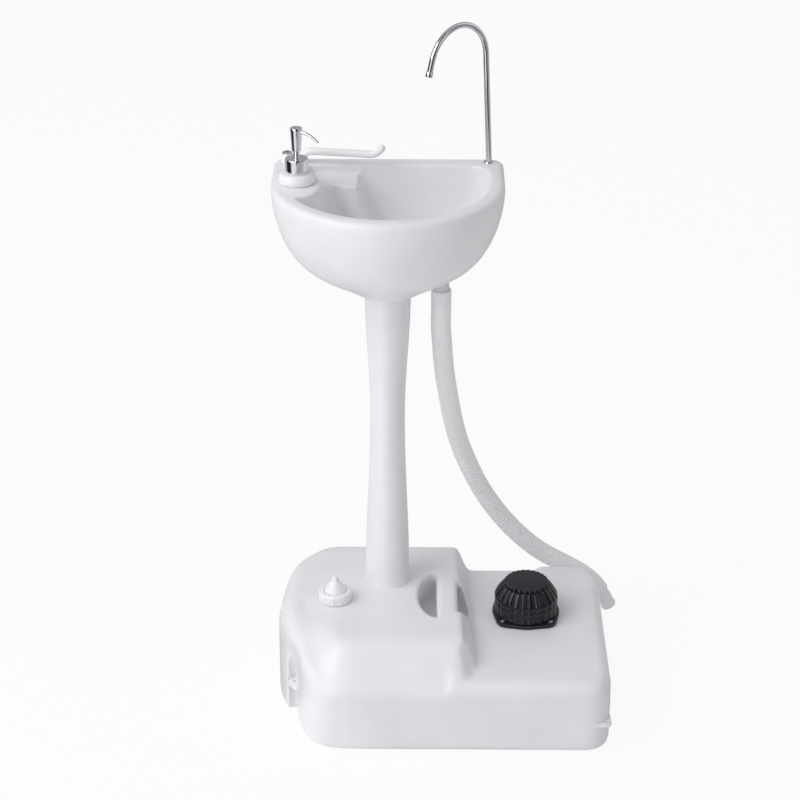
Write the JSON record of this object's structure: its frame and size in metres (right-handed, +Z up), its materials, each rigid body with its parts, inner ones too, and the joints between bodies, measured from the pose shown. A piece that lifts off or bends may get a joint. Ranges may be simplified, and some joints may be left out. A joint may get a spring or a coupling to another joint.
{
  "type": "camp wash stand",
  "caption": "Free-standing hand wash stand: a low water tank with a foot pump, a waisted column and a D-shaped basin with swan-neck tap, soap pump, towel rail and drain hose.",
  "frame": {"origin": "on the floor at the underside of the tank, under the axis of the column", "axes": "+X to the right, towards the foot pump; +Y to the flat back of the basin; +Z up along the column"},
  "size_m": [0.5367, 0.4279, 1.0217],
  "materials": {
    "hdpe_white": "satin, blow moulded",
    "white_moulded": "satin, injection moulded",
    "seal_rubber": "matte",
    "chrome_plate": "polished",
    "stainless": "bright",
    "brass_nut": "machined",
    "pump_black": "satin, moulded",
    "bellows_black": "satin",
    "hose_clear": "translucent, corrugated",
    "tube_clear": "translucent"
  },
  "bodies": {
    "stand": {"tank": "hdpe_white", "left_lug": "hdpe_white", "right_lug": "hdpe_white", "filler_neck": "white_moulded", "column": "hdpe_white", "basin": "hdpe_white", "drain_strainer": "chrome_plate", "drain_gasket": "seal_rubber", "drain_nut": "white_moulded", "drain_cuff": "hose_clear", "drain_hose": "hose_clear", "drain_end": "white_moulded", "tap_shank": "chrome_plate", "tap_washer": "seal_rubber", "tap_nut": "brass_nut", "supply_hose": "tube_clear", "soap_bottle": "white_moulded", "soap_bush": "white_moulded", "soap_collar": "chrome_plate", "soap_barrel": "white_moulded", "soap_spring": "stainless", "soap_dip_tube": "tube_clear", "rail_pivot": "stainless", "rail_nut": "stainless", "pump_gasket": "seal_rubber", "pump_base": "pump_black", "pump_bellows": "bellows_black", "pump_spring": "stainless", "pump_screws": "stainless", "suction_tube": "tube_clear", "suction_strainer": "white_moulded", "outlet_elbow": "white_moulded"},
    "tap": {"tap_tube": "chrome_plate", "tap_nozzle": "chrome_plate"},
    "rail": {"towel_rail": "white_moulded"},
    "soap_piston": {"soap_stem": "white_moulded"},
    "soap_spout": {"soap_head": "chrome_plate"},
    "tread": {"pump_tread": "pump_black"},
    "filler_cap": {"cap_insert": "white_moulded", "cap_gasket": "seal_rubber"},
    "filler_ring": {"cap_ring": "white_moulded"}
  },
  "joints": [
    {"name": "tap_swivel", "type": "hinge", "parent": "stand", "child": "tap", "pos_m": [0.1455, 0.098, 0.7975], "axis": [0, 0, 1], "range_deg": [-120, 120]},
    {"name": "rail_swivel", "type": "hinge", "parent": "stand", "child": "rail", "pos_m": [-0.1475, 0.095, 0.7975], "axis": [0, 0, 1], "range_deg": [-40, 200]},
    {"name": "soap_press", "type": "slide", "parent": "stand", "child": "soap_piston", "axis": [0, 0, -1], "range_m": [0, 0.01], "stiffness_N_per_m": 600, "springref_m": -0.005, "deforming": ["soap_spring"]},
    {"name": "soap_turn", "type": "hinge", "parent": "soap_piston", "child": "soap_spout", "pos_m": [-0.13, 0.014, 0.8575], "axis": [0, 0, 1], "continuous": true},
    {"name": "pump_press", "type": "slide", "parent": "stand", "child": "tread", "axis": [0, 0, -1], "range_m": [0, 0.028], "stiffness_N_per_m": 1200, "springref_m": -0.008, "deforming": ["pump_bellows", "pump_spring"]},
    {"name": "cap_lift", "type": "slide", "parent": "stand", "child": "filler_cap", "axis": [0, 0, 1], "range_m": [0, 0.008]},
    {"name": "cap_turn", "type": "hinge", "parent": "filler_cap", "child": "filler_ring", "pos_m": [-0.078, -0.065, 0.156], "axis": [0, 0, 1], "range_deg": [0, 720]}
  ],
  "couplings": [
    {"joint": "cap_turn", "follows": "cap_lift", "rad_per_m": 1570.8}
  ]
}
